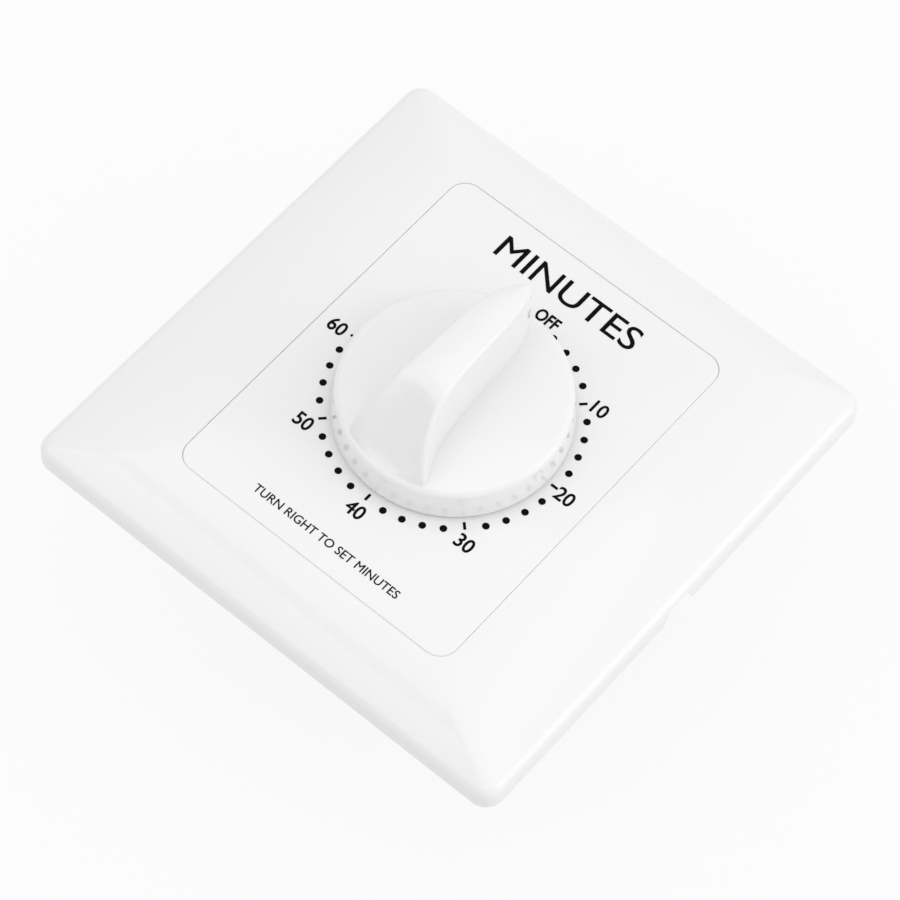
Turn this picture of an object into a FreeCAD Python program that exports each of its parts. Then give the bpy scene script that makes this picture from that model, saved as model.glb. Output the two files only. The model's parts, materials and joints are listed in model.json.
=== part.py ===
import FreeCAD, Part
import math
import os

from FreeCAD import Vector

# Spring-wound countdown switch on a square wall plate.
# Millimetres; the wall is the plane z = 0, +Z points into the room, +Y is the top of the dial.

# Clearances
fit_gap = 0.15            # between parts that drop into each other
running_gap = 0.03        # radial, between a shaft and its bearing
seat_gap = 0.02           # radial, where one piece is held on or in another
end_shake = 0.1           # along a shaft, at each shoulder
seam_gap = 0.15           # round the dial panel
rest_gap = 0.05           # between faces that slide on each other

# Cover frame
plate_side = 86.0
plate_corner_radius = 3.0
plate_edge_roll = 1.4
plate_shoulder_height = 4.3  # top of the edge roll above the wall
cover_wall = 1.8
rim_wall = 1.3
notch_width = 10.0
notch_height = 2.6
notch_slope = 1.6
edge_break = 0.25

# Dial panel
panel_width = 50.3
panel_length = 64.2
panel_corner_radius = 3.0
panel_height = 7.0        # front face above the wall
panel_thickness = 1.8
panel_skirt_wall = 1.2

# Dial
dial_radius = 19.3
dial_travel = 270.0       # degrees from the stop mark to the last mark
dial_minutes = 60
dot_step = 2
tick_step = 10
dot_diameter = 1.3
tick_length = 1.4
tick_width = 0.45
ink_thickness = 0.04

# Mounting base
base_gap = 1.7            # between the base's edge and the cover's walls
base_corner_radius = 2.5
base_thickness = 2.2
mount_spacing = 60.3
mount_slot_width = 4.5
mount_slot_length = 7.0
screw_pocket_width = 10.0
screw_pocket_length = 9.2
screw_pocket_floor = 1.4

# Snap legs that hold the cover and the panel on the base
leg_width = 6.0
leg_thickness = 1.2
leg_nose = 0.6
leg_nose_height = 0.7
leg_tip_height = 0.3
leg_flex_room = 0.9
cover_leg_x = 15.0
cover_leg_y = 36.2
panel_leg_x = 19.5
panel_leg_y = 28.6

# Timer case
case_side = 46.6
case_corner_radius = 3.0
case_wall = 1.8
case_floor = 2.0
case_rise = 4.2           # top of the case in front of the wall plane
tab_width = 32.0
tab_reach = 29.4
case_screw_x = 11.0
case_screw_y = 26.4
boss_inset = 2.6          # from the side of the clockwork's plates to the screw
boss_y = -3.0
boss_radius = 2.6

# Screws
small_screw_radius = 1.1
boss_thread_depth = 6.0   # of the front plate's screws in the case's bosses
small_head_radius = 2.0
head_height = 0.8
drive_slot_width = 0.5
drive_slot_depth = 0.4

# Clockwork frame
movement_front = -1.0     # front face of the front plate
movement_plate = 1.0
plate_spacing = 13.0
movement_gap = 0.3        # between the clockwork's plates and the case
movement_corner_radius = 1.5
pillar_inset = 2.8        # from the side of the plates to the pillar
pillar_radius = 1.6
pillar_screw_radius = 0.8
pillar_head_radius = 1.5
pillar_thread = 3.0

# Main arbor
shaft_radius = 2.0
shaft_flat = 1.4          # from the axis to the flat
shaft_top = 18.0
journal_radius = 2.2
bush_wall = 1.4
bush_rise = 0.6
collar_radius = 3.6
collar_thickness = 0.65
rear_pivot_radius = 1.5
cam_seat_radius = 1.3
cam_seat_flat = 0.9
cam_seat_overhang = 1.2   # behind the cam

# End stops
stop_hub_radius = 4.0
stop_arm_radius = 8.0
stop_thickness = 0.8
stop_pin_radius = 0.9
stop_pin_place = 6.6
stop_slack = 0.8          # degrees left at each end of the turn

# Wheel train
main_teeth = 72
main_module = 0.30
second_teeth = 64
second_module = 0.28
third_teeth = 60
third_module = 0.24
pinion_leaves = 8
wheel_thickness = 0.7
main_wheel_front = -2.8
second_wheel_front = -5.4
third_wheel_front = -7.3
leaf_overhang = 0.5       # how far a pinion's leaves stand past the wheel that drives it
second_bearing = 45.0     # degrees, from the main arbor to the second
third_bearing = 158.0     # degrees, from the second arbor to the third
escape_bearing = 185.0    # degrees, from the third arbor to the escape arbor
balance_bearing = 215.0   # degrees, from the escape arbor to the balance
train_arbor_radius = 0.55
train_pivot_radius = 0.35
spoke_count = 5
spoke_width = 1.6
wheel_hub_share = 0.30
wheel_rim = 1.6

# Tooth form, in modules
wheel_addendum = 1.1
wheel_dedendum = 1.2
wheel_tooth_width = 1.35
wheel_tip_width = 0.5
leaf_addendum = 0.75
leaf_dedendum = 1.5
leaf_width = 1.1
leaf_root_width = 0.75
leaf_tip_width = 0.5

# Escapement
escape_teeth = 20
escape_radius = 4.8
escape_tooth_depth = 1.1
escape_tip_width = 0.12
escape_root_width = 0.7
escape_thickness = 0.5
escape_front = -4.4
pallet_span = 40.5        # degrees, half the angle between the pins, at the escape arbor
pallet_pin_radius = 0.2
pallet_pin_clearance = 0.06
pallet_front = -5.5
pallet_thickness = 0.6
pallet_arm_width = 0.9
balance_length = 11.0
balance_width = 1.6
balance_thickness = 1.0
balance_weight_radius = 1.5
balance_front = -7.0
balance_weight_thickness = 2.0

# Slip clutch
clutch_spring_radius = 5.6
clutch_spring_thickness = 0.3
clutch_spring_dish = 0.5
clutch_ring_radius = 3.6
clutch_ring_thickness = 0.7

# Mainspring
strip_thickness = 0.25
strip_width = 4.5
strip_gap = 1.3           # behind the third wheel
strip_turns = 6
strip_start_radius = 3.3
strip_pitch = 1.1
strip_bend_radius = 0.9
strip_tail = 1.2
spring_post_radius = 1.0
hook_wrap = 230.0         # degrees that the outer end wraps round its post

# Switch
cam_radius = 7.0
cam_notch_depth = 1.3
cam_notch_width = 3.0
cam_gap = 1.0             # behind the rear plate
cam_thickness = 2.4
cam_hub_radius = 2.6
circlip_radius = 2.4
circlip_thickness = 0.4
circlip_groove_radius = 1.0
circlip_opening = 90.0    # degrees
leaf_thickness_contact = 0.3
leaf_height = 3.0
leaf_plane = -8.2         # y of the leaf's cam side
leaf_free_end = -9.5
leaf_fixed_end = 16.0
bump_depth = 1.9
bump_half_width = 1.3
fixed_strip_plane = -10.3
fixed_strip_end = -4.5
contact_place = -7.6
contact_radius = 1.2
contact_thickness = 0.65
foot_width = 5.0
foot_reach = -18.0

# Terminals
terminal_x = 13.5
terminal_y = -16.2
terminal_width = 7.6
terminal_length = 6.6
terminal_height = 7.4
terminal_gap = 0.7        # between the contact strips and the blocks
wire_hole_radius = 1.6
wire_hole_depth = 3.6     # from the top of the block
entry_hole_radius = 1.9
terminal_screw_radius = 1.5
terminal_head_radius = 2.7
terminal_access_radius = 3.2
rivet_radius = 0.9
rivet_head_radius = 1.6
rivet_head_height = 0.5

# Knob
knob_base_radius = 18.0
knob_rim_radius = 17.8
knob_lift = 1.0           # between the panel and the skirt
knob_disc_height = 5.5    # disc face above the panel
knob_rim_roll = 1.2
knob_wall = 1.7
knob_boss_radius = 4.4
boss_slit = 0.8
clip_thickness = 0.6
clip_height = 2.1
clip_opening = 50.0       # degrees

# Grip on the knob's disc, in sections from its rear to its nose. Each has its place along the pointer, the half
# width at its foot and at its ridges, the height of the ridges above the panel and the rise between them.
grip_sections = [
    (-15.8, 7.25, 7.15, 5.2, 0.3),
    (-14.9, 7.15, 6.85, 7.3, -0.5),
    (-13.5, 6.7, 6.1, 10.0, -1.3),
    (-12.0, 6.0, 5.4, 12.3, -1.5),
    (-10.0, 5.2, 4.7, 14.7, -1.2),
    (-8.0, 4.6, 4.1, 16.5, -0.7),
    (-6.0, 4.15, 3.7, 17.6, -0.2),
    (-3.0, 3.8, 3.62, 18.0, 0.2),
    (2.0, 3.55, 3.55, 18.0, 0.35),
    (7.0, 3.3, 3.3, 17.9, 0.35),
    (10.0, 2.9, 2.85, 17.4, 0.3),
    (12.5, 2.45, 2.3, 16.6, 0.25),
    (14.5, 1.75, 1.5, 15.7, 0.15),
    (16.0, 0.75, 0.6, 14.8, 0.08),
    (16.5, 0.2, 0.15, 14.4, 0.03),
]
grip_root = 0.9           # how far the grip's foot reaches into the disc

# Derived sizes and places
base_side = plate_side - 2 * cover_wall - 2 * base_gap
movement_side = case_side - 2 * case_wall - 2 * movement_gap
pillar_place = movement_side / 2 - pillar_inset
boss_x = movement_side / 2 - boss_inset
window_width = panel_width + 2 * seam_gap
window_length = panel_length + 2 * seam_gap
window_corner_radius = panel_corner_radius + seam_gap
front_plate_rear = movement_front - movement_plate
rear_plate_front = front_plate_rear - plate_spacing
rear_plate_rear = rear_plate_front - movement_plate
cam_front = rear_plate_rear - cam_gap
leaf_front = cam_front + rest_gap
terminal_top = leaf_front - leaf_height - terminal_gap
wire_hole_height = terminal_top - wire_hole_depth
floor_z = terminal_top - terminal_height
case_back = floor_z - case_floor
strip_front = third_wheel_front - wheel_thickness - strip_gap
cam_seat_end = cam_front - cam_thickness - cam_seat_overhang
main_pitch_radius = main_teeth * main_module / 2
second_pitch_radius = second_teeth * second_module / 2
third_pitch_radius = third_teeth * third_module / 2
knob_bottom = panel_height + knob_lift
knob_disc_z = panel_height + knob_disc_height


def cylinder(radius, z0, z1, x=0.0, y=0.0):
    return Part.makeCylinder(radius, z1 - z0, Vector(x, y, z0))


def ring(outer, inner, z0, z1, x=0.0, y=0.0):
    return cylinder(outer, z0, z1, x, y).cut(cylinder(inner, z0 - 1, z1 + 1, x, y))


def block(x0, x1, y0, y1, z0, z1):
    return Part.makeBox(x1 - x0, y1 - y0, z1 - z0, Vector(x0, y0, z0))


def plate(width, length, z0, z1, x=0.0, y=0.0):
    return block(x - width / 2, x + width / 2, y - length / 2, y + length / 2, z0, z1)


def is_upright(edge):
    box = edge.BoundBox
    return box.ZLength > 10 * max(box.XLength, box.YLength)


def rounded_plate(width, length, radius, z0, z1, x=0.0, y=0.0):
    solid = plate(width, length, z0, z1, x, y)
    return solid.makeFillet(radius, [e for e in solid.Edges if is_upright(e)])


def prism(points, z0, z1):
    corners = [Vector(x, y, z0) for x, y in points]
    face = Part.Face(Part.makePolygon(corners + corners[:1]))
    return face.extrude(Vector(0, 0, z1 - z0))


def turned(profile, x=0.0, y=0.0):
    """Solid of revolution about the vertical through x, y; the profile is radius, height pairs."""
    corners = [Vector(r, 0, z) for r, z in profile]
    face = Part.Face(Part.makePolygon(corners + corners[:1]))
    solid = face.revolve(Vector(0, 0, 0), Vector(0, 0, 1), 360)
    solid.translate(Vector(x, y, 0))
    return solid


def rotated(shape, degrees, x=0.0, y=0.0):
    copy = shape.copy()
    copy.rotate(Vector(x, y, 0), Vector(0, 0, 1), degrees)
    return copy


def moved(shape, x=0.0, y=0.0, z=0.0):
    copy = shape.copy()
    copy.translate(Vector(x, y, z))
    return copy


def fused(shapes):
    first, rest = shapes[0], shapes[1:]
    return first.fuse(rest).removeSplitter() if rest else first


def polar(radius, degrees, centre=(0.0, 0.0)):
    angle = math.radians(degrees)
    return centre[0] + radius * math.cos(angle), centre[1] + radius * math.sin(angle)


def mirrored_places(x, y):
    return [(sx * x, sy * y) for sx in (-1, 1) for sy in (-1, 1)]


def d_section(radius, flat, z0, z1, gap=0.0):
    """Round bar with one flat on its +X side."""
    bar = cylinder(radius + gap, z0, z1)
    return bar.cut(block(flat + gap, radius + 1, -radius - 1, radius + 1, z0 - 1, z1 + 1))


def slotted_head(radius, z0, z1, slot_z, x, y):
    """Screw head with a driver slot in the face at slot_z."""
    head = cylinder(radius, z0, z1, x, y)
    slot = plate(drive_slot_width, 2 * radius + 1, slot_z - drive_slot_depth, slot_z + drive_slot_depth, x, y)
    return head.cut(slot)


# Train layout

def train_places():
    pinion = pinion_leaves / 2
    second = polar(main_pitch_radius + pinion * main_module, second_bearing)
    third = polar(second_pitch_radius + pinion * second_module, third_bearing, second)
    escape = polar(third_pitch_radius + pinion * third_module, escape_bearing, third)
    pin_circle = escape_radius + pallet_pin_radius + pallet_pin_clearance
    balance = polar(pin_circle / math.cos(math.radians(pallet_span)), balance_bearing, escape)
    return second, third, escape, balance


second_at, third_at, escape_at, balance_at = train_places()


# Cover frame

def crown_radius(seam_half):
    """Radius of the arc that leaves the panel's plane level and runs into the edge roll tangentially."""
    width = plate_side / 2 - plate_edge_roll - seam_half
    fall = panel_height - plate_shoulder_height
    return plate_edge_roll + (width ** 2 + fall ** 2) / (2 * fall)


def crown_slope(seam_half):
    """Slope of that arc where it meets the edge roll, in radians below level."""
    width = plate_side / 2 - plate_edge_roll - seam_half
    return math.asin(width / (crown_radius(seam_half) - plate_edge_roll))


def arc_point(centre_x, centre_z, radius, slope):
    return Vector(centre_x + radius * math.sin(slope), 0, centre_z + radius * math.cos(slope))


def flipped(point):
    return Vector(-point.x, point.y, point.z)


def crown_face(right_side):
    """Upright section from its right half: lists of 2 points for a line and 3 for an arc, from the seam down."""
    edges = []
    for points in right_side:
        for side in (points, [flipped(p) for p in points]):
            edges.append(Part.Arc(*side).toShape() if len(side) == 3 else Part.makeLine(*side))
    top, low = right_side[0][0], right_side[-1][-1]
    edges += [Part.makeLine(top, flipped(top)), Part.makeLine(low, flipped(low))]
    return Part.Face(Part.Wire(Part.__sortEdges__(edges)))


def outer_section(seam_half):
    radius, slope = crown_radius(seam_half), crown_slope(seam_half)
    half, roll = plate_side / 2, plate_edge_roll
    roll_x, roll_z = half - roll, plate_shoulder_height - roll
    crown_z = panel_height - radius
    meet = arc_point(roll_x, roll_z, roll, slope)
    wall_top = Vector(half, 0, roll_z)
    return crown_face([
        [arc_point(seam_half, crown_z, radius, 0), arc_point(seam_half, crown_z, radius, slope / 2), meet],
        [meet, arc_point(roll_x, roll_z, roll, (slope + math.pi / 2) / 2), wall_top],
        [wall_top, Vector(half, 0, 0)],
    ])


def inner_section(seam_half):
    radius = crown_radius(seam_half) - cover_wall
    half = plate_side / 2 - cover_wall
    crown_z = panel_height - crown_radius(seam_half)
    slope = math.asin((half - seam_half) / radius)
    wall_top = arc_point(seam_half, crown_z, radius, slope)
    return crown_face([
        [arc_point(seam_half, crown_z, radius, 0), arc_point(seam_half, crown_z, radius, slope / 2), wall_top],
        [wall_top, Vector(half, 0, -1)],
    ])


def crown(section):
    """Crowned block over the whole plate: one section along each side, meeting in mitres at the corners."""
    across, along = section(window_width / 2), section(window_length / 2)
    across.translate(Vector(0, -plate_side, 0))
    along.rotate(Vector(0, 0, 0), Vector(0, 0, 1), 90)
    along.translate(Vector(-plate_side, 0, 0))
    return across.extrude(Vector(0, 2 * plate_side, 0)).common(along.extrude(Vector(2 * plate_side, 0, 0)))


def corner_rolls():
    """What the edge roll takes off at the four rounded corners."""
    slope = max(crown_slope(window_width / 2), crown_slope(window_length / 2))
    roll, corner = plate_edge_roll, plate_corner_radius
    centre_z = plate_shoulder_height - roll
    meet = arc_point(corner - roll, centre_z, roll, slope)
    middle = arc_point(corner - roll, centre_z, roll, (slope + math.pi / 2) / 2)
    wall_top = Vector(corner, 0, centre_z)
    axis_top = Vector(0, 0, meet.z + meet.x * math.tan(slope))
    far, high = Vector(corner + 1, 0, centre_z), panel_height + 1
    face = Part.Face(Part.Wire([
        Part.makeLine(axis_top, meet), Part.Arc(meet, middle, wall_top).toShape(),
        Part.makeLine(wall_top, far), Part.makeLine(far, Vector(far.x, 0, high)),
        Part.makeLine(Vector(far.x, 0, high), Vector(0, 0, high)),
        Part.makeLine(Vector(0, 0, high), axis_top),
    ]))
    cutter = face.revolve(Vector(0, 0, 0), Vector(0, 0, 1), 90)
    place = plate_side / 2 - corner
    return [rotated(moved(cutter, place, place), 90 * i) for i in range(4)]


def snap_leg(x, y, top_z):
    """Leg that hangs from top_z, with its nose pointing away from the plate's middle line."""
    side = 1 if y > 0 else -1
    inner, outer = y - side * leg_thickness / 2, y + side * leg_thickness / 2
    tip = outer + side * leg_nose
    nose_top = leg_tip_height + leg_nose_height
    corners = [
        (inner, leg_tip_height), (outer, leg_tip_height), (tip, leg_tip_height + leg_nose_height / 2),
        (tip, nose_top), (outer, nose_top), (outer, top_z), (inner, top_z),
    ]
    points = [Vector(x - leg_width / 2, u, z) for u, z in corners]
    face = Part.Face(Part.makePolygon(points + points[:1]))
    return face.extrude(Vector(leg_width, 0, 0))


def snap_slot(x, y):
    """Slot in the base for one snap leg, wider at the back so that the nose catches under its lip."""
    side = 1 if y > 0 else -1
    inner = y - side * (leg_thickness / 2 + leg_flex_room)
    outer = y + side * (leg_thickness / 2 + fit_gap)
    deep = outer + side * leg_nose
    half = leg_width / 2 + fit_gap
    lip = leg_tip_height + leg_nose_height + rest_gap
    through = block(x - half, x + half, min(inner, outer), max(inner, outer), -1, base_thickness + 1)
    catch = block(x - half, x + half, min(inner, deep), max(inner, deep), -1, lip)
    return through.fuse(catch)


def pry_notch():
    """Notch in the back edge of the +X wall, with sloped ends."""
    low, high = notch_width / 2 + notch_slope, notch_width / 2
    corners = [(-low, -1), (-low, 0), (-high, notch_height), (high, notch_height), (low, 0), (low, -1)]
    start = plate_side / 2 - cover_wall - fit_gap
    points = [Vector(start, y, z) for y, z in corners]
    face = Part.Face(Part.makePolygon(points + points[:1]))
    return face.extrude(Vector(cover_wall + 1, 0, 0))


def window(z0, z1):
    return rounded_plate(window_width, window_length, window_corner_radius, z0, z1)


def window_rim():
    """Collar round the window that stands on the base, open at the two mounting screws."""
    rim = rounded_plate(window_width + 2 * rim_wall, window_length + 2 * rim_wall,
                        window_corner_radius + rim_wall, base_thickness, panel_height - cover_wall / 2)
    relief = plate(window_width + 4 * rim_wall, screw_pocket_width + 2, 0, panel_height - cover_wall)
    return rim.cut(relief)


def cover_frame():
    outline = rounded_plate(plate_side, plate_side, plate_corner_radius, 0, panel_height + 1)
    outer = crown(outer_section).common(outline).cut(corner_rolls())
    inner_side = plate_side - 2 * cover_wall
    hollow = crown(inner_section).common(
        rounded_plate(inner_side, inner_side, plate_corner_radius - cover_wall / 2, -1, panel_height))
    legs = [snap_leg(x, y, panel_height - cover_wall) for x, y in mirrored_places(cover_leg_x, cover_leg_y)]
    shell = outer.cut(hollow).fuse([window_rim()] + legs)
    shell = shell.cut(window(-2, panel_height + 2)).cut(pry_notch()).removeSplitter()
    return break_window_edge(shell)


def break_window_edge(shell):
    edges = [e for e in shell.Edges if at_height(e, panel_height) and within(e, window_width, window_length)]
    return shell.makeFillet(edge_break, edges)


def at_height(edge, z):
    return abs(edge.BoundBox.ZMin - z) < 1e-4 and abs(edge.BoundBox.ZMax - z) < 1e-4


def within(edge, width, length):
    box = edge.BoundBox
    return max(abs(box.XMin), abs(box.XMax)) < width / 2 + 1e-3 \
        and max(abs(box.YMin), abs(box.YMax)) < length / 2 + 1e-3


# Dial panel

def dial_panel():
    face = rounded_plate(panel_width, panel_length, panel_corner_radius,
                         panel_height - panel_thickness, panel_height)
    face = face.makeFillet(edge_break, [e for e in face.Edges if at_height(e, panel_height)])
    skirt = rounded_plate(panel_width, panel_length, panel_corner_radius,
                          case_rise + fit_gap, panel_height - panel_thickness)
    skirt = skirt.cut(rounded_plate(
        panel_width - 2 * panel_skirt_wall, panel_length - 2 * panel_skirt_wall,
        panel_corner_radius - panel_skirt_wall, 0, panel_height))
    legs = [snap_leg(x, y, panel_height - panel_thickness)
            for x, y in mirrored_places(panel_leg_x, panel_leg_y)]
    shaft_hole = cylinder(shaft_radius + fit_gap, 0, panel_height + 1)
    return fused([face, skirt] + legs).cut(shaft_hole)


def dial_angle(minute):
    """Degrees from +X of a mark: the stop mark is at +Y and minutes run clockwise."""
    return 90 - minute * dial_travel / dial_minutes


def dial_marks():
    top = panel_height + ink_thickness
    marks = []
    for minute in range(0, dial_minutes + 1, dot_step):
        angle = dial_angle(minute)
        if minute % tick_step:
            x, y = polar(dial_radius, angle)
            marks.append(cylinder(dot_diameter / 2, panel_height, top, x, y))
        else:
            tick = plate(tick_length, tick_width, panel_height, top, dial_radius, 0)
            marks.append(rotated(tick, angle))
    return Part.makeCompound(marks)


# Mounting base

def mount_slot(side):
    """Slot for one mounting screw, with a shallow pocket for its head."""
    x = side * mount_spacing / 2
    radius = mount_slot_width / 2
    straight = mount_slot_length / 2 - radius
    slot = fused([
        cylinder(radius, -1, base_thickness + 1, x - straight, 0),
        cylinder(radius, -1, base_thickness + 1, x + straight, 0),
        plate(2 * straight, mount_slot_width, -1, base_thickness + 1, x, 0),
    ])
    pocket = plate(screw_pocket_length, screw_pocket_width, screw_pocket_floor, base_thickness + 1, x, 0)
    return slot.fuse(pocket)


def case_screw_places():
    return mirrored_places(case_screw_x, case_screw_y)


def mounting_base():
    body = rounded_plate(base_side, base_side, base_corner_radius, 0, base_thickness)
    opening = rounded_plate(case_side + 2 * fit_gap, case_side + 2 * fit_gap,
                            case_corner_radius + fit_gap, -1, base_thickness + 1)
    cuts = [opening, mount_slot(-1), mount_slot(1)]
    cuts += [snap_slot(x, y) for x, y in mirrored_places(cover_leg_x, cover_leg_y)]
    cuts += [snap_slot(x, y) for x, y in mirrored_places(panel_leg_x, panel_leg_y)]
    cuts += [cylinder(small_screw_radius + seat_gap, -1, base_thickness + 1, x, y)
             for x, y in case_screw_places()]
    return body.cut(cuts)


# Timer case

def countersink(radius, head_radius, z_face, x, y, gap):
    depth = head_radius - radius
    return Part.makeCone(radius + gap, head_radius + gap, depth, Vector(x, y, z_face - depth))


def case_tabs():
    """Two tabs that lie on the base, countersunk for the case screws."""
    tabs = plate(tab_width, 2 * tab_reach, base_thickness, case_rise)
    for x, y in case_screw_places():
        tabs = tabs.cut([
            cylinder(small_screw_radius + fit_gap, 0, case_rise + 1, x, y),
            countersink(small_screw_radius, small_head_radius, case_rise, x, y, fit_gap / 2),
        ])
    return tabs


def terminal_bay(side):
    """Walls round one terminal block, with its wire entry and the hole for the driver."""
    x = side * terminal_x
    bay = plate(terminal_width + 2 * fit_gap + 2, terminal_length + 2 * fit_gap + 2,
                floor_z - case_floor / 2, terminal_top - 1.5, x, terminal_y)
    pocket = plate(terminal_width + 2 * fit_gap, terminal_length + 2 * fit_gap,
                   floor_z, terminal_top, x, terminal_y)
    return bay.cut(pocket)


def wire_entry(side):
    x = side * terminal_x
    start = Vector(x, -case_side, wire_hole_height)
    hole = Part.makeCylinder(entry_hole_radius, case_side + terminal_y, start, Vector(0, 1, 0))
    return hole.fuse(cylinder(terminal_access_radius, case_back - 1, floor_z + 0.01, x, terminal_y))


def timer_case():
    outer = rounded_plate(case_side, case_side, case_corner_radius, case_back, case_rise)
    inner_side = case_side - 2 * case_wall
    inner = rounded_plate(inner_side, inner_side, case_corner_radius - case_wall, floor_z, case_rise + 1)
    tub = outer.fuse(case_tabs()).cut(inner)
    bosses = [cylinder(boss_radius, floor_z - 1, front_plate_rear, side * boss_x, boss_y) for side in (-1, 1)]
    bays = [terminal_bay(side) for side in (-1, 1)]
    body = fused([tub] + bosses + bays)
    threads = [cylinder(small_screw_radius + seat_gap, front_plate_rear - boss_thread_depth, 0,
                        side * boss_x, boss_y)
               for side in (-1, 1)]
    return body.cut(threads + [wire_entry(side) for side in (-1, 1)])


def case_screws():
    screws = []
    for x, y in case_screw_places():
        shank = cylinder(small_screw_radius, leg_tip_height, case_rise - small_head_radius + small_screw_radius,
                         x, y)
        head = countersink(small_screw_radius, small_head_radius, case_rise, x, y, 0)
        slot = plate(drive_slot_width, 2 * small_head_radius + 1, case_rise - drive_slot_depth, case_rise + 1,
                     x, y)
        screws.append(shank.fuse(head).removeSplitter().cut(slot))
    return Part.makeCompound(screws)


# Clockwork frame

def movement_outline(z0, z1):
    return rounded_plate(movement_side, movement_side, movement_corner_radius, z0, z1)


def pivot_holes(z0, z1):
    places = [second_at, third_at, escape_at, balance_at]
    return [cylinder(train_pivot_radius + running_gap, z0, z1, x, y) for x, y in places]


def pillar_places():
    return mirrored_places(pillar_place, pillar_place)


def front_plate():
    z0, z1 = front_plate_rear, movement_front
    cuts = pivot_holes(z0 - 1, z1 + 1)
    cuts += [cylinder(pillar_screw_radius + seat_gap, z0 - 1, z1 + 1, x, y) for x, y in pillar_places()]
    cuts += [cylinder(small_screw_radius + fit_gap, z0 - 1, z1 + 1, side * boss_x, boss_y) for side in (-1, 1)]
    cuts.append(cylinder(journal_radius + bush_wall + seat_gap, z0 - 1, z1 + 1))
    x, y = polar(stop_pin_place, -90)
    cuts.append(cylinder(stop_pin_radius + seat_gap, z0 - 1, z1 + 1, x, y))
    return movement_outline(z0, z1).cut(cuts)


def rear_plate():
    z0, z1 = rear_plate_rear, rear_plate_front
    cuts = pivot_holes(z0 - 1, z1 + 1)
    cuts += [cylinder(pillar_screw_radius + seat_gap, z0 - 1, z1 + 1, x, y) for x, y in pillar_places()]
    notch = boss_radius + 2 * fit_gap
    for side in (-1, 1):
        cuts.append(cylinder(notch, z0 - 1, z1 + 1, side * boss_x, boss_y))
        cuts.append(plate(2 * notch, 2 * notch, z0 - 1, z1 + 1, side * (boss_x + notch), boss_y))
    cuts.append(cylinder(rear_pivot_radius + running_gap, z0 - 1, z1 + 1))
    post_x, post_y = spring_post_at()
    cuts.append(cylinder(spring_post_radius * 0.7 + seat_gap, z0 - 1, z1 + 1, post_x, post_y))
    return movement_outline(z0, z1).cut(cuts)


def pillars():
    solids = []
    for x, y in pillar_places():
        bar = cylinder(pillar_radius, rear_plate_front, front_plate_rear, x, y)
        ends = [(front_plate_rear - pillar_thread, front_plate_rear + 1),
                (rear_plate_front - 1, rear_plate_front + pillar_thread)]
        solids.append(bar.cut([cylinder(pillar_screw_radius + seat_gap, a, b, x, y) for a, b in ends]))
    return Part.makeCompound(solids)


def pillar_screws():
    solids = []
    reach = pillar_thread - end_shake
    for x, y in pillar_places():
        top, bottom = movement_front + head_height, rear_plate_rear - head_height
        front = slotted_head(pillar_head_radius, movement_front, top, top, x, y)
        rear = slotted_head(pillar_head_radius, bottom, rear_plate_rear, bottom, x, y)
        front_shank = cylinder(pillar_screw_radius, front_plate_rear - reach, movement_front, x, y)
        rear_shank = cylinder(pillar_screw_radius, rear_plate_rear, rear_plate_front + reach, x, y)
        solids += [front.fuse(front_shank), rear.fuse(rear_shank)]
    return Part.makeCompound(solids)


def movement_screws():
    solids = []
    for side in (-1, 1):
        top = movement_front + head_height
        head = slotted_head(small_head_radius, movement_front, top, top, side * boss_x, boss_y)
        shank = cylinder(small_screw_radius, front_plate_rear - 5, movement_front, side * boss_x, boss_y)
        solids.append(head.fuse(shank))
    return Part.makeCompound(solids)


def front_bush():
    return ring(journal_radius + bush_wall, journal_radius + running_gap,
                front_plate_rear, movement_front + bush_rise)


# Main arbor and what turns with it

def main_arbor():
    washer_top = movement_front + bush_rise + rest_gap
    collar_top = front_plate_rear - end_shake
    parts = [
        d_section(shaft_radius, shaft_flat, washer_top, shaft_top),
        cylinder(journal_radius, collar_top, washer_top),
        cylinder(collar_radius, collar_top - collar_thickness, collar_top),
        cylinder(journal_radius, rear_plate_front + end_shake, collar_top - collar_thickness),
        cylinder(rear_pivot_radius, rear_plate_rear - end_shake, rear_plate_front + end_shake),
        d_section(cam_seat_radius, cam_seat_flat, cam_seat_end, rear_plate_rear - end_shake),
    ]
    slot_half = strip_thickness / 2 + rest_gap
    slot = block(-journal_radius - 1, journal_radius + 1, -slot_half, slot_half,
                 strip_front - strip_width - end_shake, strip_front + end_shake)
    groove = ring(cam_seat_radius + 1, circlip_groove_radius, circlip_top() - circlip_thickness - rest_gap,
                  circlip_top() + rest_gap)
    return fused(parts).cut([slot, groove])


def sector(inner, outer, half_angle, z0, z1, steps=8):
    """Sector of a ring, centred on +X, with straight-sided ends."""
    rim = [polar(outer / math.cos(math.radians(half_angle / steps)), half_angle * (2 * i / steps - 1))
           for i in range(steps + 1)]
    wedge = prism([(0.0, 0.0)] + rim, z0, z1)
    return wedge.common(ring(outer, inner, z0, z1))


def stop_washer():
    """Washer with an arm that meets the stop pin at each end of the knob's turn."""
    z0 = movement_front + bush_rise + rest_gap + rest_gap
    z1 = z0 + stop_thickness
    pin_half = math.degrees(math.asin(stop_pin_radius / stop_pin_place))
    arm_half = (360 - dial_travel) / 2 - pin_half - stop_slack
    arm = rotated(sector(stop_hub_radius - 1, stop_arm_radius, arm_half, z0, z1),
                  -90 - (360 - dial_travel) / 2)
    hub = cylinder(stop_hub_radius, z0, z1)
    return fused([hub, arm]).cut(d_section(shaft_radius, shaft_flat, z0 - 1, z1 + 1, seat_gap))


def stop_pin():
    x, y = polar(stop_pin_place, -90)
    return cylinder(stop_pin_radius, front_plate_rear, movement_front + 2 * stop_thickness + bush_rise, x, y)


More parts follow.
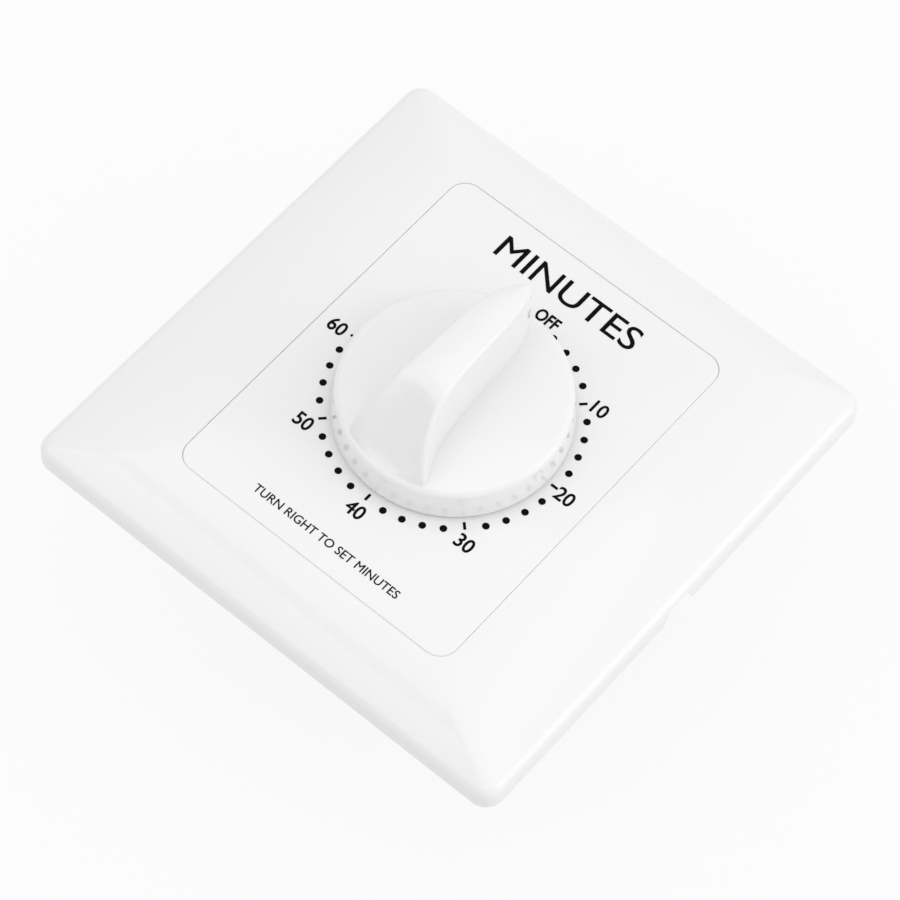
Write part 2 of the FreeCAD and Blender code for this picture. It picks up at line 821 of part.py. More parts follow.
def toothed_disc(teeth, root, points, z0, z1):
    """Disc with teeth; points are radius, half-width pairs of one tooth from its root outwards."""
    outline = []
    for i in range(teeth):
        middle = 2 * math.pi * i / teeth
        left = [(r, middle - math.asin(w / r)) for r, w in points]
        right = [(r, middle + math.asin(w / r)) for r, w in reversed(points)]
        outline += [(r * math.cos(a), r * math.sin(a)) for r, a in left + right]
    return prism(outline, z0, z1)


def wheel_teeth(teeth, module, z0, z1):
    pitch = teeth * module / 2
    points = [
        (pitch - wheel_dedendum * module, wheel_tooth_width * module / 2),
        (pitch, wheel_tooth_width * module / 2),
        (pitch + wheel_addendum * module, wheel_tip_width * module / 2),
    ]
    return toothed_disc(teeth, points[0][0], points, z0, z1)


def pinion_teeth(module, z0, z1):
    pitch = pinion_leaves * module / 2
    points = [
        (pitch - leaf_dedendum * module, leaf_root_width * module / 2),
        (pitch, leaf_width * module / 2),
        (pitch + leaf_addendum * module, leaf_tip_width * module / 2),
    ]
    return toothed_disc(pinion_leaves, points[0][0], points, z0, z1)


def crossings(outer, inner, z0, z1):
    """Openings between the spokes of a wheel."""
    band = ring(outer, inner, z0 - 1, z1 + 1)
    spokes = [rotated(block(0, outer + 1, -spoke_width / 2, spoke_width / 2, z0 - 2, z1 + 2),
                      360 * i / spoke_count) for i in range(spoke_count)]
    return band.cut(spokes)


def crossed_wheel(teeth, module, hole_radius, z_front):
    z0, z1 = z_front - wheel_thickness, z_front
    pitch = teeth * module / 2
    root = pitch - wheel_dedendum * module
    hub = max(pitch * wheel_hub_share, hole_radius + 1)
    wheel = wheel_teeth(teeth, module, z0, z1)
    return wheel.cut([crossings(root - wheel_rim, hub, z0, z1), cylinder(hole_radius, z0 - 1, z1 + 1)])


def main_wheel():
    wheel = crossed_wheel(main_teeth, main_module, journal_radius + running_gap, main_wheel_front)
    return rotated(wheel, second_bearing)


def train_arbor(leaves_module, leaves_z0, leaves_z1, at):
    """Thin arbor between the plates with its leaves cut on it."""
    x, y = at
    body = cylinder(train_arbor_radius, rear_plate_front + end_shake, front_plate_rear - end_shake)
    pivot = cylinder(train_pivot_radius, rear_plate_rear, movement_front)
    parts = [body, pivot]
    if leaves_module:
        parts.append(pinion_teeth(leaves_module, leaves_z0, leaves_z1))
    return moved(fused(parts), x, y)


def leaves_span(wheel_front):
    return wheel_front - wheel_thickness - leaf_overhang, wheel_front + leaf_overhang


def meshed_pinion(module, wheel_front, bearing, at):
    """Pinion with a gap between leaves on the line to the wheel that drives it."""
    z0, z1 = leaves_span(wheel_front)
    gap_turn = bearing + 180 + 180 / pinion_leaves
    return rotated(train_arbor(module, z0, z1, at), gap_turn, *at)


def second_pinion():
    return meshed_pinion(main_module, main_wheel_front, second_bearing, second_at)


def second_wheel():
    wheel = crossed_wheel(second_teeth, second_module, train_arbor_radius + seat_gap, second_wheel_front)
    return moved(rotated(wheel, third_bearing), *second_at)


def third_pinion():
    return meshed_pinion(second_module, second_wheel_front, third_bearing, third_at)


def third_wheel():
    wheel = crossed_wheel(third_teeth, third_module, train_arbor_radius + seat_gap, third_wheel_front)
    return moved(rotated(wheel, escape_bearing), *third_at)


def escape_pinion():
    return meshed_pinion(third_module, third_wheel_front, escape_bearing, escape_at)


def escape_wheel():
    """Wheel with pointed teeth; a gap faces the balance."""
    z0, z1 = escape_front - escape_thickness, escape_front
    root = escape_radius - escape_tooth_depth
    points = [(root, escape_root_width / 2), (escape_radius, escape_tip_width / 2)]
    wheel = toothed_disc(escape_teeth, root, points, z0, z1)
    hub = train_arbor_radius + 1
    wheel = wheel.cut([crossings(root - wheel_rim / 2, hub, z0, z1),
                       cylinder(train_arbor_radius + seat_gap, z0 - 1, z1 + 1)])
    return moved(rotated(wheel, balance_bearing + 180 / escape_teeth), *escape_at)


# Balance

def pallet_pin_places():
    circle = escape_radius + pallet_pin_radius + pallet_pin_clearance
    return [polar(circle, balance_bearing + side * pallet_span, escape_at) for side in (-1, 1)]


def pallet_lever():
    """Hub with two arms, each with a pin that reaches down to the escape wheel's teeth."""
    z0, z1 = pallet_front - pallet_thickness, pallet_front
    bx, by = balance_at
    parts = [cylinder(train_arbor_radius + 0.9, z0, z1, bx, by)]
    for x, y in pallet_pin_places():
        length = math.hypot(x - bx, y - by)
        arm = block(0, length, -pallet_arm_width / 2, pallet_arm_width / 2, z0, z1)
        arm = moved(rotated(arm, math.degrees(math.atan2(y - by, x - bx))), bx, by)
        parts.append(arm)
        parts.append(cylinder(pallet_arm_width / 2, z0, z1, x, y))
        parts.append(cylinder(pallet_pin_radius, z1, escape_front + rest_gap, x, y))
    bore = cylinder(train_arbor_radius + seat_gap, z0 - 1, z1 + 1, bx, by)
    return fused(parts).cut(bore)


def balance_arbor():
    return train_arbor(0, 0, 0, balance_at)


def balance_bar():
    x, y = balance_at
    z0, z1 = balance_front - balance_thickness, balance_front
    bar = plate(balance_width, balance_length - balance_weight_radius, z0, z1, x, y)
    reach = balance_length / 2 - balance_weight_radius
    weights = [cylinder(balance_weight_radius, z1 - balance_weight_thickness, z1, x, y + side * reach)
               for side in (-1, 1)]
    hub = cylinder(train_arbor_radius + 1, z0, z1, x, y)
    return fused([bar, hub] + weights).cut(cylinder(train_arbor_radius + seat_gap, z0 - 1, z1 + 1, x, y))


# Slip clutch

def clutch_spring():
    """Dished washer that presses the main wheel against the arbor's collar."""
    top = main_wheel_front - wheel_thickness - rest_gap
    inner = journal_radius + seat_gap
    low = top - clutch_spring_dish - clutch_spring_thickness
    return turned([
        (inner, low), (inner, low + clutch_spring_thickness),
        (clutch_spring_radius, top), (clutch_spring_radius, top - clutch_spring_thickness),
    ])


def clutch_ring():
    top = main_wheel_front - wheel_thickness - 2 * rest_gap - clutch_spring_dish - clutch_spring_thickness
    return ring(clutch_ring_radius, journal_radius + seat_gap, top - clutch_ring_thickness, top)


# Mainspring

def strip_outer_radius():
    return strip_start_radius + strip_turns * strip_pitch


def spring_post_at():
    """The post stands outside the last turn, where the strip comes to it."""
    hook = spring_post_radius + rest_gap + strip_thickness / 2
    return strip_outer_radius() + hook, strip_bend_radius


def arc_edge(centre, radius, start, sweep, z):
    """Arc in a level plane from start degrees through sweep degrees."""
    points = [polar(radius, start + sweep * share, centre) for share in (0, 0.5, 1)]
    return Part.Arc(*[Vector(x, y, z) for x, y in points]).toShape()


def strip_side(offset, z):
    """One side of the strip: tail in the arbor's slot, a bend, half turns about two centres, then the hook."""
    bend = (strip_start_radius - strip_bend_radius, strip_bend_radius)
    edges = [Part.makeLine(Vector(-strip_tail, -offset, z), Vector(bend[0], -offset, z)),
             arc_edge(bend, strip_bend_radius + offset, -90, 90, z)]
    step = strip_pitch / 2
    for half_turn in range(2 * strip_turns):
        shift = step * (half_turn % 2)
        edges.append(arc_edge((shift, strip_bend_radius), strip_start_radius + step * half_turn + offset,
                              180 * (half_turn % 2), 180, z))
    hook = spring_post_radius + rest_gap + strip_thickness / 2
    edges.append(arc_edge(spring_post_at(), hook - offset, 180, -hook_wrap, z))
    return edges


def mainspring():
    z = strip_front - strip_width
    half = strip_thickness / 2
    outer, inner = strip_side(half, z), strip_side(-half, z)
    tail = Part.makeLine(inner[0].Vertexes[0].Point, outer[0].Vertexes[0].Point)
    tip = Part.makeLine(outer[-1].Vertexes[-1].Point, inner[-1].Vertexes[-1].Point)
    wire = Part.Wire(Part.__sortEdges__(outer + inner + [tail, tip]))
    return Part.Face(wire).extrude(Vector(0, 0, strip_width))


def spring_post():
    x, y = spring_post_at()
    post = cylinder(spring_post_radius, rear_plate_front, strip_front + end_shake, x, y)
    return post.fuse(cylinder(spring_post_radius * 0.7, rear_plate_rear, rear_plate_front, x, y))


# Switch

def circlip_top():
    return cam_front - cam_thickness - rest_gap


def switch_cam():
    """Disc with one notch; the leaf's bump lies in the notch at the stop mark."""
    z0, z1 = cam_front - cam_thickness, cam_front
    half = cam_notch_width / 2
    floor = cam_radius - cam_notch_depth
    notch = prism([(-half / 3, -floor), (half / 3, -floor), (half, -cam_radius - 1), (-half, -cam_radius - 1)],
                  z0 - 1, z1 + 1)
    hub = cylinder(cam_hub_radius, z1, rear_plate_rear - end_shake - rest_gap)
    body = cylinder(cam_radius, z0, z1).fuse(hub)
    bore = d_section(cam_seat_radius, cam_seat_flat, z0 - 1, 0, seat_gap)
    return body.cut([notch, bore])


def cam_circlip():
    z1 = circlip_top()
    z0 = z1 - circlip_thickness
    mouth = prism([(0.0, 0.0), polar(2 * circlip_radius, -circlip_opening / 2),
                   polar(2 * circlip_radius, circlip_opening / 2)], z0 - 1, z1 + 1)
    return ring(circlip_radius, circlip_groove_radius + seat_gap, z0, z1).cut(mouth)


def strip_foot(x0, x1, y_strip):
    """Level foot of a contact strip on its terminal block, joined to the strip by a short drop."""
    low = terminal_top
    t = leaf_thickness_contact
    foot = block(x0, x1, foot_reach, y_strip, low, low + t)
    drop = block(x0, x1, y_strip - t, y_strip, low, leaf_front)
    return foot.fuse(drop)


def contact_point(y0, y1):
    height = leaf_front - leaf_height / 2
    start = Vector(contact_place, min(y0, y1), height)
    return Part.makeCylinder(contact_radius, abs(y1 - y0), start, Vector(0, 1, 0))


def contact_leaf():
    """Springy strip on edge beside the cam, with a bump in the cam's notch and a contact near its free end."""
    z0, z1 = leaf_front - leaf_height, leaf_front
    t = leaf_thickness_contact
    outer_y = leaf_plane - t
    outline = [
        (leaf_free_end, outer_y), (leaf_free_end, leaf_plane), (-bump_half_width, leaf_plane),
        (-t, leaf_plane + bump_depth), (t, leaf_plane + bump_depth), (bump_half_width, leaf_plane),
        (leaf_fixed_end, leaf_plane), (leaf_fixed_end, outer_y), (bump_half_width - t / 2, outer_y),
        (t / 2, leaf_plane + bump_depth - t), (-t / 2, leaf_plane + bump_depth - t),
        (-bump_half_width + t / 2, outer_y),
    ]
    strip = prism(outline, z0, z1)
    foot = strip_foot(leaf_fixed_end - foot_width, leaf_fixed_end, leaf_plane)
    x, y = rivet_place(1)
    body = fused([strip, foot]).cut(cylinder(rivet_radius + seat_gap, terminal_top - 1, terminal_top + 1, x, y))
    return Part.makeCompound([body, contact_point(outer_y - contact_thickness, outer_y)])


def fixed_contact():
    z0, z1 = leaf_front - leaf_height, leaf_front
    t = leaf_thickness_contact
    strip = block(-leaf_fixed_end, fixed_strip_end, fixed_strip_plane - t, fixed_strip_plane, z0, z1)
    foot = strip_foot(-leaf_fixed_end, -leaf_fixed_end + foot_width, fixed_strip_plane)
    x, y = rivet_place(-1)
    body = fused([strip, foot]).cut(cylinder(rivet_radius + seat_gap, terminal_top - 1, terminal_top + 1, x, y))
    return Part.makeCompound([body, contact_point(fixed_strip_plane, fixed_strip_plane + contact_thickness)])


# Terminals

def rivet_place(side):
    return side * terminal_x, terminal_y + terminal_length / 4


def terminal_blocks():
    blocks = []
    for side in (-1, 1):
        x = side * terminal_x
        body = plate(terminal_width, terminal_length, floor_z, terminal_top, x, terminal_y)
        wire = Part.makeCylinder(wire_hole_radius, terminal_length + 2,
                                 Vector(x, terminal_y - terminal_length / 2 - 1, wire_hole_height),
                                 Vector(0, 1, 0))
        thread = cylinder(terminal_screw_radius + seat_gap, floor_z - 1, wire_hole_height, x, terminal_y)
        rx, ry = rivet_place(side)
        rivet = cylinder(rivet_radius + seat_gap, terminal_top - 1.6, terminal_top + 1, rx, ry)
        blocks.append(body.cut([wire, thread, rivet]))
    return Part.makeCompound(blocks)


def terminal_screws():
    screws = []
    for side in (-1, 1):
        x = side * terminal_x
        bottom = floor_z - head_height
        head = slotted_head(terminal_head_radius, bottom, floor_z, bottom, x, terminal_y)
        tip = wire_hole_height - wire_hole_radius + rest_gap
        screws.append(head.fuse(cylinder(terminal_screw_radius, floor_z, tip, x, terminal_y)))
    return Part.makeCompound(screws)


def terminal_rivets():
    rivets = []
    for side in (-1, 1):
        x, y = rivet_place(side)
        top = terminal_top + leaf_thickness_contact
        shank = cylinder(rivet_radius, terminal_top - 1.5, top, x, y)
        rivets.append(shank.fuse(cylinder(rivet_head_radius, top, top + rivet_head_height, x, y)))
    return Part.makeCompound(rivets)


# Knob

def grip_section(y, foot_half, ridge_half, ridge_height, rise):
    foot, ridge = knob_disc_z - grip_root, panel_height + ridge_height
    corners = [Vector(-foot_half, y, foot), Vector(foot_half, y, foot),
               Vector(ridge_half, y, ridge), Vector(-ridge_half, y, ridge)]
    return Part.Wire([
        Part.makeLine(corners[0], corners[1]),
        Part.makeLine(corners[1], corners[2]),
        Part.Arc(corners[2], Vector(0, y, ridge + rise), corners[3]).toShape(),
        Part.makeLine(corners[3], corners[0]),
    ])


def grip():
    return Part.makeLoft([grip_section(*section) for section in grip_sections], True)


def knob_disc():
    disc = Part.makeCone(knob_base_radius, knob_rim_radius, knob_disc_z - knob_bottom,
                         Vector(0, 0, knob_bottom))
    top_edges = [e for e in disc.Edges if at_height(e, knob_disc_z)]
    return disc.makeFillet(knob_rim_roll, top_edges)


def knob_hollow():
    """Space under the disc round the boss."""
    inner = knob_base_radius - knob_wall
    cavity = cylinder(inner, knob_bottom - 1, knob_disc_z - knob_wall)
    return cavity.cut(cylinder(knob_boss_radius, knob_bottom - 2, knob_disc_z))


def knob():
    disc = knob_disc()
    body = disc.fuse(grip()).removeSplitter()
    body = body.cut(knob_hollow())
    bore = d_section(shaft_radius, shaft_flat, knob_bottom - 1, shaft_top + end_shake, seat_gap)
    slit = block(-boss_slit / 2, boss_slit / 2, -knob_boss_radius - 1, 0, knob_bottom - 1,
                 knob_disc_z - knob_wall)
    return body.cut([bore, slit])


def knob_clip():
    z0 = knob_bottom + 0.5
    z1 = z0 + clip_height
    inner = knob_boss_radius + seat_gap
    mouth = prism([(0.0, 0.0), polar(3 * inner, 90 - clip_opening / 2), polar(3 * inner, 90 + clip_opening / 2)],
                  z0 - 1, z1 + 1)
    return ring(inner + clip_thickness, inner, z0, z1).cut(mouth)


PARTS = [
    cover_frame, dial_panel, dial_marks, mounting_base, timer_case, case_screws,
    front_plate, rear_plate, pillars, pillar_screws, movement_screws, front_bush,
    main_arbor, stop_washer, stop_pin, main_wheel, clutch_spring, clutch_ring,
    mainspring, spring_post, second_wheel, second_pinion, third_wheel, third_pinion,
    escape_wheel, escape_pinion, pallet_lever, balance_arbor, balance_bar,
    switch_cam, cam_circlip, contact_leaf, fixed_contact,
    terminal_blocks, terminal_screws, terminal_rivets, knob, knob_clip,
]


def main():
    os.makedirs("parts", exist_ok=True)
    for make in PARTS:
        shape = make()
        shape.exportStep(os.path.join("parts", make.__name__ + ".step"))
        print(f"{make.__name__}: {len(shape.Solids)} solids, {shape.Volume:.1f} mm3, valid {shape.isValid()}")


main()
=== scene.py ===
# %% [markdown]
# # A spring-wound countdown switch
# The real thing is a glossy white wall plate with a knob that winds a clockwork behind it. Everything is
# in metres, in the frame of the solid model.

# %% The frame
import json
import math

import bmesh
import bpy
from mathutils import Matrix, Vector


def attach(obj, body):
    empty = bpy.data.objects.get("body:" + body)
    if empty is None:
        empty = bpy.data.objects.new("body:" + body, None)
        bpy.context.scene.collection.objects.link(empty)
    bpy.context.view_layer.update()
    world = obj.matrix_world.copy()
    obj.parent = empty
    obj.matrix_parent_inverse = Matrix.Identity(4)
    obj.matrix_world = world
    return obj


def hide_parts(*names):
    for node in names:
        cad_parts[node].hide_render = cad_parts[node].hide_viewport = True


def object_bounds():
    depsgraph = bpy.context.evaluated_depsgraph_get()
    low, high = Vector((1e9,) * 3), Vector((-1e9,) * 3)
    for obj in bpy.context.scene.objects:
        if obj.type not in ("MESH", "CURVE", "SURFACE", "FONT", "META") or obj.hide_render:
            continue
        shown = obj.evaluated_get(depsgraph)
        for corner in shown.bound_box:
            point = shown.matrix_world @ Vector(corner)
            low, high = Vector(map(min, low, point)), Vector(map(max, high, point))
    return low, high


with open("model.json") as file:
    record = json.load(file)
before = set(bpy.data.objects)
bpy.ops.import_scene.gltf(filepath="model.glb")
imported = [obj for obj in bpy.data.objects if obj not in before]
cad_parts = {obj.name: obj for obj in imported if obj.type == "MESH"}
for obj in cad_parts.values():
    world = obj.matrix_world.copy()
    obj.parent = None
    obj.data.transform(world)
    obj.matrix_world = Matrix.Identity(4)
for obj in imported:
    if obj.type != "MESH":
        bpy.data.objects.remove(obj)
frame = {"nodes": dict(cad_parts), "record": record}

cad_box = [list(corner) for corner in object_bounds()]
MM = 0.001

# %% [markdown]
# ## Shader maths
# A finish is a small network of nodes. Dragging them by hand works for one, but these finishes share most
# of theirs, so they are written in Python. As expressions they stay readable: `Socket` wraps one output, and
# its operators add the Math nodes. Everything that isn't arithmetic comes from `Finish.node`.

# %% Sockets that can be added and multiplied
class Socket:
    """One output of a node. A sum or product with a number or another socket adds its Math node."""

    def __init__(self, finish, out):
        self.finish, self.out = finish, out

    def math(self, operation, other):
        return self.finish.node("ShaderNodeMath", {"operation": operation}, self, other)

    def __add__(self, other):
        return self.math("ADD", other)

    def __mul__(self, other):
        return self.math("MULTIPLY", other)

    __radd__, __rmul__ = __add__, __mul__


# %% One material and its nodes
class Finish:
    """A material. What is the same all over is given by name, such as Metallic=1.0."""

    def __init__(self, name, **constants):
        self.material = bpy.data.materials.new(name)
        self.material.use_nodes = True
        self.tree = self.material.node_tree
        self.shader = self.tree.nodes["Principled BSDF"]
        for socket, value in constants.items():
            self.shader.inputs[socket.replace("_", " ")].default_value = value

    def feed(self, target, value):
        if isinstance(value, Socket):
            self.tree.links.new(value.out, target)
        else:
            target.default_value = value

    def node(self, kind, settings=None, *inputs, out=0, **named):
        made = self.tree.nodes.new(kind)
        for key, value in (settings or {}).items():
            setattr(made, key, value)
        for place, value in enumerate(inputs):
            self.feed(made.inputs[place], value)
        for key, value in named.items():
            self.feed(made.inputs[key.replace("_", " ")], value)
        return Socket(self, made.outputs[out])

    def coords(self):
        return self.node("ShaderNodeTexCoord", out="Object")

    def noise(self, scale, detail=3.0, roughness=0.5, at=None):
        return self.node("ShaderNodeTexNoise", Vector=at or self.coords(), Scale=scale, Detail=detail,
                         Roughness=roughness)

    def colour_mix(self, share, first, second):
        made = self.tree.nodes.new("ShaderNodeMix")
        made.data_type = "RGBA"
        self.feed(made.inputs[0], share)
        self.feed(made.inputs[6], (*first, 1.0) if isinstance(first, tuple) else first)
        self.feed(made.inputs[7], (*second, 1.0) if isinstance(second, tuple) else second)
        return Socket(self, made.outputs[2])

    def bump(self, height, strength, distance):
        return self.node("ShaderNodeBump", Strength=strength, Distance=distance, Height=height)

    def surface(self, **sockets):
        for socket, value in sockets.items():
            self.feed(self.shader.inputs[socket.replace("_", " ")], value)
        return self.material


# %% [markdown]
# ## Finishes
# The cover, the dial panel and the knob are polished white moulded plastic: an even colour, a sharp but
# slightly wavy reflection. What is behind the plate is plainer: spark-eroded black and grey mouldings,
# rolled brass, turned steel and blued springs.

# %% White gloss plastic
PLASTIC_IOR = 1.5
WHITE, CLOUD_DARKER = (0.872, 0.873, 0.875), 0.985
CLOUDS, HAZE = 45.0, 900.0
WAVE_STRENGTH, WAVE_DEPTH = 0.08, 0.0004


def white_gloss(name, wave, roughness):
    """Polished white; wave is how many swells of its skin go to a metre."""
    finish = Finish(name, IOR=PLASTIC_IOR)
    cloud = finish.noise(CLOUDS, 2.0)
    haze = finish.noise(HAZE)
    dark = tuple(part * CLOUD_DARKER for part in WHITE)
    return finish.surface(
        Base_Color=finish.colour_mix(cloud, dark, WHITE),
        Roughness=roughness + 0.02 * cloud + 0.01 * haze,
        Normal=finish.bump(finish.noise(wave, 2.0), WAVE_STRENGTH, WAVE_DEPTH),
    )


cover_white = white_gloss("cover_white_gloss", 60.0, 0.03)
panel_white = white_gloss("panel_white_gloss", 45.0, 0.03)
knob_white = white_gloss("knob_white_gloss", 80.0, 0.06)
print("white finishes", cover_white.name, panel_white.name, knob_white.name)


# %% Printed ink
INK_GLOSS, INK_GRAIN, INK_GRAIN_DEPTH = 0.04, 4000.0, 0.00001


def printed_ink():
    """Black screen ink: nearly no gloss, and the fine tooth of the screen."""
    finish = Finish("black_dial_ink", IOR=PLASTIC_IOR, Specular_IOR_Level=INK_GLOSS)
    grain = finish.noise(INK_GRAIN, 4.0, 0.7)
    return finish.surface(
        Base_Color=finish.colour_mix(grain, (0.002, 0.002, 0.0025), (0.005, 0.005, 0.0055)),
        Roughness=0.35 + 0.2 * grain,
        Normal=finish.bump(grain, 0.2, INK_GRAIN_DEPTH),
    )


ink = printed_ink()
print("ink", ink.name)


# %% Spark-eroded moulded plastic
FLOW, GRAIN_STRENGTH, GRAIN_DEPTH = 30.0, 0.35, 0.00006


def grained_plastic(name, light, dark, grains, roughness):
    """Matt moulding: a fine grain from the mould, and slow bands where the melt flowed."""
    finish = Finish(name, IOR=PLASTIC_IOR)
    grain = finish.noise(grains, 5.0, 0.65)
    flow = finish.noise(FLOW)
    return finish.surface(
        Base_Color=finish.colour_mix(flow, dark, light),
        Roughness=roughness + 0.15 * grain,
        Normal=finish.bump(grain, GRAIN_STRENGTH, GRAIN_DEPTH),
    )


base_grey = grained_plastic("base_grey_plastic", (0.74, 0.74, 0.72), (0.68, 0.68, 0.665), 2600.0, 0.42)
case_black = grained_plastic("case_black_plastic", (0.05, 0.05, 0.053), (0.035, 0.035, 0.038), 3000.0, 0.45)
nylon = grained_plastic("natural_nylon", (0.8, 0.76, 0.64), (0.72, 0.68, 0.56), 1500.0, 0.4)
print("grained plastics", base_grey.name, case_black.name, nylon.name)


# %% Metals
STREAKS, TARNISH, STREAK_STRENGTH, STREAK_DEPTH = 900.0, 160.0, 0.15, 0.00003


def rolled_metal(name, light, dark, roughness, stretch):
    """Streaks run along the axis whose stretch is small; tarnish lies over them in patches."""
    finish = Finish(name, Metallic=1.0)
    along = finish.node("ShaderNodeMapping", Vector=finish.coords(), Scale=stretch)
    streak = finish.noise(STREAKS, 4.0, 0.6, at=along)
    tarnish = finish.noise(TARNISH)
    return finish.surface(
        Base_Color=finish.colour_mix(tarnish, dark, light),
        Roughness=roughness + 0.16 * streak + 0.06 * tarnish,
        Normal=finish.bump(streak, STREAK_STRENGTH, STREAK_DEPTH),
    )


brass = rolled_metal("rolled_brass", (0.83, 0.63, 0.31), (0.7, 0.5, 0.22), 0.22, (1.0, 0.04, 1.0))
contact_brass = rolled_metal("contact_brass", (0.87, 0.64, 0.4), (0.76, 0.52, 0.3), 0.18, (0.05, 1.0, 1.0))
steel = rolled_metal("turned_steel", (0.64, 0.64, 0.65), (0.5, 0.5, 0.51), 0.2, (1.0, 1.0, 0.08))
blued = rolled_metal("blued_spring_steel", (0.2, 0.25, 0.38), (0.12, 0.14, 0.2), 0.18, (1.0, 1.0, 0.06))
print("metals", brass.name, contact_brass.name, steel.name, blued.name)

# %% [markdown]
# ## Which node gets which finish
# The solid model's own pieces stay where their shape is right: the panel, and all that is behind the plate.
# They could be finished one by one, but the record already names a material slot for each, so a short table
# from slot to finish does it.

# %% Finishes by slot
by_slot = {
    "frame_plastic": cover_white, "panel_plastic": panel_white, "knob_plastic": knob_white, "dial_ink": ink,
    "base_plastic": base_grey, "case_plastic": case_black, "cam_plastic": nylon, "plate_brass": brass,
    "terminal_brass": contact_brass, "steel": steel, "spring_steel": blued,
}
for row in frame["record"]["subparts"]:
    node = frame["nodes"][row["node"]]
    node.data.materials.clear()
    node.data.materials.append(by_slot[row["material_slot"]])
print("nodes finished", len(frame["nodes"]))

# %% [markdown]
# ## Making a piece
# Every new piece is a bmesh that becomes one object at the origin and rides on its body. Where it takes the
# place of a solid, it also says which. Shading is smooth except over edges that are sharp on the real piece.

# %% Helpers for pieces
SAME_POINT = 0.000001


def finished(bm, name, material, body, node=None, smooth_angle=40.0):
    """Closes the mesh, turns its faces outwards and makes it a piece of the frame."""
    bmesh.ops.remove_doubles(bm, verts=bm.verts, dist=SAME_POINT)
    bmesh.ops.recalc_face_normals(bm, faces=bm.faces)
    for face in bm.faces:
        face.smooth = True
    limit = math.radians(smooth_angle)
    for edge in bm.edges:
        edge.smooth = len(edge.link_faces) != 2 or edge.calc_face_angle(0.0) < limit
    mesh = bpy.data.meshes.new(name)
    bm.to_mesh(mesh)
    bm.free()
    piece = bpy.data.objects.new(name, mesh)
    bpy.context.scene.collection.objects.link(piece)
    mesh.materials.append(material)
    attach(piece, body)
    if node:
        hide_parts(node)
    print(name, "faces", len(mesh.polygons))


def loop_edges(bm, points):
    """A closed loop of edges through the points."""
    verts = [bm.verts.new(p) for p in points]
    return [bm.edges.new((verts[i - 1], verts[i])) for i in range(len(verts))]


def stacked(rings):
    """A skin over rings of equally many points: the first ring is extruded from each to the next."""
    bm = bmesh.new()
    edges = loop_edges(bm, rings[0])
    verts = [edge.verts[1] for edge in edges]
    for ring in rings[1:]:
        goal = dict(zip(verts, ring))
        made = bmesh.ops.extrude_edge_only(bm, edges=edges)["geom"]
        edges = [item for item in made if isinstance(item, bmesh.types.BMEdge)]
        follows = {}
        for new in (item for item in made if isinstance(item, bmesh.types.BMVert)):
            old = next(e.other_vert(new) for e in new.link_edges if e.other_vert(new) in goal)
            new.co, follows[old] = goal[old], new
        verts = [follows[old] for old in verts]
    return bm


# %% [markdown]
# ## Cover frame
# The cover is a thin shell whose front is crowned: it leaves the panel's plane level and falls faster
# towards the outside, then rolls over into upright walls. Contour lines of that crown are rounded
# rectangles, so the shell is a stack of rounded rectangles, extruded from each to the next. A solid of
# four extruded sections would show facets in the gloss; contour rings keep the reflection smooth.

# %% Rounded rectangles
CORNER_STEPS = 10
SIDE_STEPS = 12


def rounded_rectangle(half_x, half_y, radius, z):
    """Points of a level rounded rectangle, anticlockwise, in metres from millimetres."""
    points = []
    centres = [Vector((sx * (half_x - radius), sy * (half_y - radius)))
               for sx, sy in ((1, 1), (-1, 1), (-1, -1), (1, -1))]
    for quarter, centre in enumerate(centres):
        for step in range(CORNER_STEPS + 1):
            angle = math.radians(90 * (quarter + step / CORNER_STEPS))
            points.append(centre + radius * Vector((math.cos(angle), math.sin(angle))))
        start = points[-1]
        side = centres[(quarter + 1) % 4] - centre
        points += [start + side * step / SIDE_STEPS for step in range(1, SIDE_STEPS)]
    return [(point * MM).to_3d() + Vector((0, 0, z * MM)) for point in points]


# %% The cover's contour rings
PLATE_HALF, PLATE_CORNER = 43.0, 3.0
WINDOW_HALF_X, WINDOW_HALF_Y, WINDOW_CORNER, BREAK = 25.19, 32.14, 3.04, 0.09
PANEL_Z, SHOULDER_Z, EDGE_ROLL, COVER_WALL = 7.0, 4.3, 2.1, 1.8
CROWN_STEPS, ROLL_STEPS = 28, 12


def crown_fall(start_half):
    """Radius of the crown's arc from the window to the shoulder, and its slope there."""
    width, fall = PLATE_HALF - EDGE_ROLL - start_half, PANEL_Z - SHOULDER_Z
    radius = EDGE_ROLL + (width ** 2 + fall ** 2) / (2 * fall)
    slope = math.asin(width / (radius - EDGE_ROLL))
    return radius, slope


def crown_rings():
    """(half_x, half_y, corner, z of the X sides, z of the Y sides) from the window out to the shoulder."""
    rings = []
    start_x, start_y, start_corner = WINDOW_HALF_X + BREAK, WINDOW_HALF_Y + BREAK, WINDOW_CORNER + BREAK
    (rx, sx), (ry, sy) = crown_fall(start_x), crown_fall(start_y)
    for step in range(CROWN_STEPS + 1):
        share = step / CROWN_STEPS
        ax, ay = sx * share, sy * share
        x, y = start_x + rx * math.sin(ax), start_y + ry * math.sin(ay)
        zx, zy = PANEL_Z - rx * (1 - math.cos(ax)), PANEL_Z - ry * (1 - math.cos(ay))
        corner = start_corner + (PLATE_CORNER - EDGE_ROLL * (1 - math.sin(sx)) - start_corner) * share
        rings.append((x, y, corner, zx, zy))
    return rings


